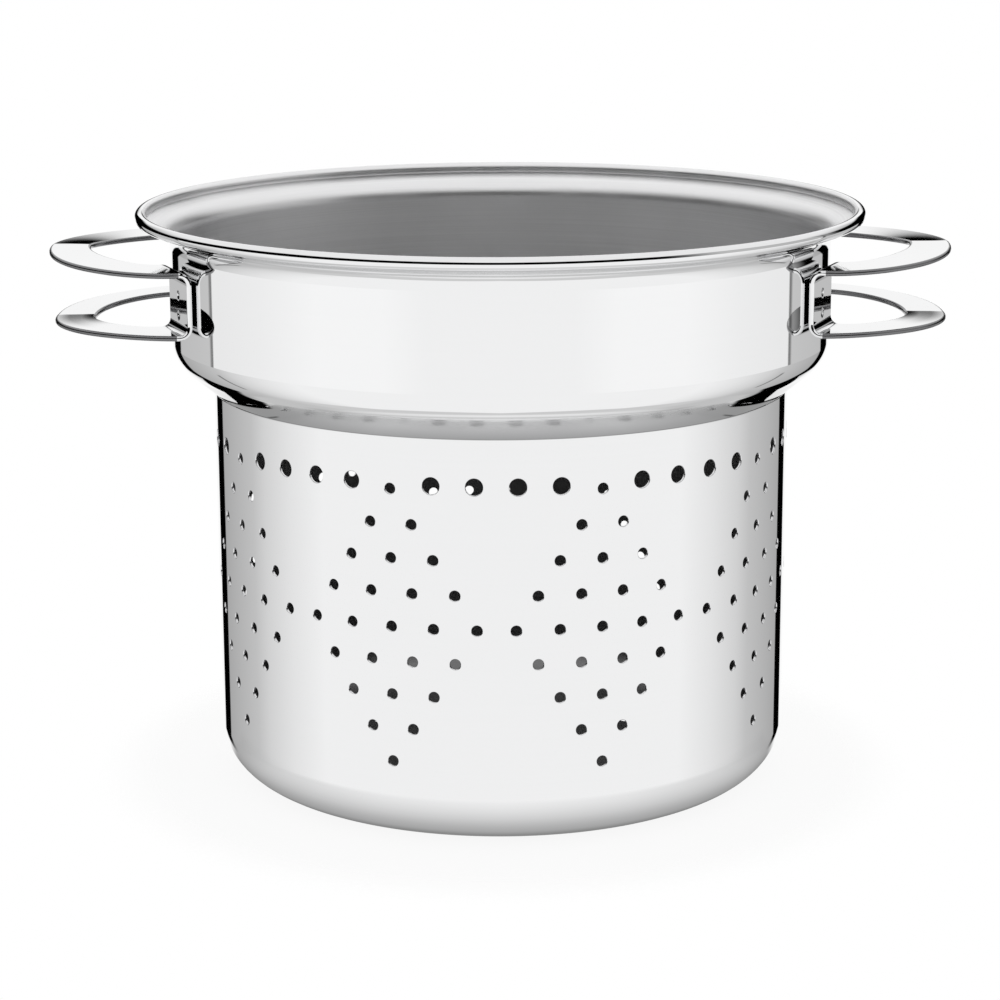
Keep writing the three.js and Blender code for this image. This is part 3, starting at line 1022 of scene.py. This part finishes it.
def by_azimuth(graph, azimuth, cards):
    return graph.ramp(azimuth / 180, [(turn / 180, grey) for turn, grey in cards])


def height_by_azimuth(graph, azimuth, heights):
    """An elevation by azimuth; a ramp holds no negative values, so it carries them shifted and scaled."""
    return by_azimuth(graph, azimuth, [(turn, (height + 100) / 200) for turn, height in heights]) * 200 - 100


def card_side(graph, elevation, side):
    return side.azimuth - graph.math("MAXIMUM", side.start - elevation, 0) * side.lean


def black_card(graph, azimuth, elevation):
    """A black card at each side of the backdrop, on a wider foot."""
    near, far, foot_far = (card_side(graph, elevation, side) for side in CARD_SIDES)
    foot = 1 - graph.step(elevation, *CARD_FOOT)
    across = graph.between(azimuth, near, far + foot * (foot_far - far), CARD_BLEND)
    return across * graph.between(elevation, *CARD_HEIGHTS)


def dark_room(graph, azimuth, elevation, right):
    """The dark room that shows between the cards and the ceiling, all round; it is paler on the right."""
    top = height_by_azimuth(graph, azimuth, BAND_TOP)
    foot = height_by_azimuth(graph, azimuth, BAND_FOOT)
    band = graph.between(elevation, foot, top, FOOT_BLEND, TOP_BLEND)
    return band * (1 - right * graph.between(azimuth, *PALER_SIDE) * PALER)


def box_edge(graph, azimuth, elevation):
    """The dark edge of the soft box, as the shoulder mirrors it."""
    edge = graph.between(azimuth, *EDGE_SIDES) * graph.between(elevation, *EDGE_HEIGHTS)
    return edge * EDGE_DARKNESS


def mix(share, without, grey):
    return without * (1 - share) + grey * share


def studio_world():
    """White all round for the camera; for the steel, soft boxes, grey cards and black cards by direction."""
    world = bpy.data.worlds.new("studio")
    world.use_nodes = True
    graph = Graph(world.node_tree)
    background = world.node_tree.nodes["Background"]
    x, y, z = graph.parts(graph.node("ShaderNodeTexCoord").outputs["Generated"])
    azimuth = graph.math("ARCTAN2", graph.math("ABSOLUTE", x), -y) * math.degrees(1)
    elevation = graph.math("ARCSINE", z) * math.degrees(1)
    low, over, ground = (by_azimuth(graph, azimuth, cards) for cards in CARDS)
    lit = mix(graph.step(elevation - azimuth * LEVEL_SLOPE, *LEVEL), low, over)
    lit = mix(graph.step(elevation, *CEILING), lit, CEILING_GREY)
    below = height_by_azimuth(graph, azimuth, GROUND_EDGE) - elevation
    lit = mix(graph.step(below, -GROUND_BLEND, GROUND_BLEND), lit, ground)
    lit = lit * (1 - black_card(graph, azimuth, elevation))
    lit = lit * (1 - dark_room(graph, azimuth, elevation, x > 0))
    lit = lit * (1 - box_edge(graph, azimuth, elevation))
    path = graph.node("ShaderNodeLightPath")
    plain = graph.math("MAXIMUM", path.outputs["Is Camera Ray"], path.outputs["Is Diffuse Ray"])
    graph.feed(background.inputs["Color"], plain + lit * (1 - plain))
    return world


FLOOR_DIVISIONS = 96


def floor_mesh(radius, height):
    turns = np.arange(FLOOR_DIVISIONS) * FULL_TURN / FLOOR_DIVISIONS
    rim = [(radius * math.cos(turn), radius * math.sin(turn), height) for turn in turns]
    mesh = bpy.data.meshes.new("floor")
    mesh.from_pydata(rim, [], [range(len(rim))])
    return mesh


# Painted shade on the floor, seen only by the steel, darker near the contact and towards the sides: how
# bright the steel mirrors the floor, by distance from the axis in metres, and by angle from the front.
FLOOR_SHADE = (
    (0.09, 0.3), (0.098, 0.27), (0.1, 0.42), (0.102, 0.44), (0.106, 0.53), (0.108, 0.58), (0.1105, 0.65),
    (0.114, 0.73), (0.118, 0.79), (0.122, 0.84), (0.127, 0.88), (0.133, 0.92), (0.145, 0.96), (0.167, 1),
)
FLOOR_SIDES = (
    (0, 1), (30, 0.96), (45, 0.9), (60, 0.8), (67, 0.73), (75, 0.62), (82, 0.54), (90, 0.47), (180, 0.4),
)


FLOOR_PAINT = (0.8, 0.8, 0.8, 1)
FLOOR_GLOW = 0.9  # share of the floor's brightness that needs no light
FLOOR_FADE = (0.78, 0.99)  # shares of its radius between which it fades into the white
MIRRORED_FADE, MIRRORED_BACK = (0.138, 0.162), (-0.014, 0.012)  # where the steel stops to mirror it


def floor_material(radius):
    """Pale floor that keeps a faint shadow, shows the steel a painted shadow near the contact and fades into
    the white.
    """
    material, graph, shader = new_material("pale_floor")
    graph.tree.nodes.remove(shader)
    x, y, _ = graph.parts(graph.node("ShaderNodeTexCoord").outputs["Object"])
    distance = graph.math("SQRT", x * x + y * y)
    path = graph.node("ShaderNodeLightPath")
    paint = graph.node("ShaderNodeBsdfDiffuse", None, {"Color": FLOOR_PAINT})
    light = graph.node("ShaderNodeEmission", None, {"Color": (1, 1, 1, 1), "Strength": 1})
    lit = graph.node("ShaderNodeMixShader", None, {0: FLOOR_GLOW, 1: paint.outputs[0], 2: light.outputs[0]})
    clear = graph.node("ShaderNodeBsdfTransparent")
    fade = graph.step(distance, *(radius * share for share in FLOOR_FADE))
    seen = graph.node("ShaderNodeMixShader", None, {0: fade, 1: lit.outputs[0], 2: clear.outputs[0]})
    turn = graph.math("ARCTAN2", graph.math("ABSOLUTE", x), -y) * math.degrees(1)
    glow = by_azimuth(graph, turn, FLOOR_SIDES) * graph.ramp(distance, FLOOR_SHADE)
    near = graph.node("ShaderNodeEmission", None, {"Color": graph.vector(glow, glow, glow), "Strength": 1})
    away = graph.math("MAXIMUM", graph.step(distance, *MIRRORED_FADE), graph.step(y, *MIRRORED_BACK))
    mirrored = graph.node("ShaderNodeMixShader", None, {0: away, 1: near.outputs[0], 2: clear.outputs[0]})
    glossy = path.outputs["Is Glossy Ray"]
    chosen = graph.node("ShaderNodeMixShader", None, {0: glossy, 1: seen.outputs[0], 2: mirrored.outputs[0]})
    graph.feed(graph.tree.nodes["Material Output"].inputs["Surface"], chosen.outputs[0])
    return material


SENSOR_WIDTH = 36
FAR_CLIP = 10


def studio_camera(studio):
    camera = bpy.data.cameras.new("camera")
    camera.sensor_width = SENSOR_WIDTH
    camera.lens = studio.lens / MILLIMETRE
    camera.shift_x = studio.lens_shift
    camera.clip_end = FAR_CLIP
    holder = new_object("camera", camera)
    place = Matrix.Translation((0, -studio.camera_distance, studio.camera_height))
    tilt = Matrix.Rotation(QUARTER_TURN - studio.camera_pitch, 4, "X")
    holder.matrix_world = place @ tilt @ Matrix.Rotation(studio.camera_roll, 4, "Z")
    return holder


class STRAINER_OT_stage(bpy.types.Operator):
    """Set the floor, the light and the camera"""

    bl_idname = "strainer.stage"
    bl_label = "Stage"
    bl_options = {"REGISTER", "UNDO"}

    def execute(self, context):
        studio = context.scene.strainer_studio
        floor = new_object("floor", floor_mesh(studio.floor_radius, -studio.floor_drop))
        floor.data.materials.append(floor_material(studio.floor_radius))
        context.scene.world = studio_world()
        context.scene.camera = studio_camera(studio)
        context.scene.view_settings.view_transform = "Standard"
        return {"FINISHED"}


# Panel and registration


class VIEW3D_PT_strainer(bpy.types.Panel):
    """Sizes and makers of the strainer insert"""

    bl_label = "Strainer"
    bl_space_type = "VIEW_3D"
    bl_region_type = "UI"
    bl_category = "Strainer"

    def draw(self, context):
        for operator in OPERATORS:
            self.layout.operator(operator.bl_idname)
        for name, group in GROUPS.items():
            box = self.layout.box()
            box.label(text=group.__doc__)
            for size in group.__annotations__:
                box.prop(getattr(context.scene, name), size)


OPERATORS = (STRAINER_OT_body, STRAINER_OT_handles, STRAINER_OT_stage)
CLASSES = (*GROUPS.values(), *OPERATORS, VIEW3D_PT_strainer)


def register():
    for cls in CLASSES:
        bpy.utils.register_class(cls)
    for name, group in GROUPS.items():
        setattr(bpy.types.Scene, name, bpy.props.PointerProperty(type=group))


def unregister():
    for name in GROUPS:
        delattr(bpy.types.Scene, name)
    for cls in reversed(CLASSES):
        bpy.utils.unregister_class(cls)


def main():
    register()
    bpy.ops.strainer.body()
    bpy.ops.strainer.handles()
    bpy.ops.strainer.stage()


if __name__ == "__main__":
    main()
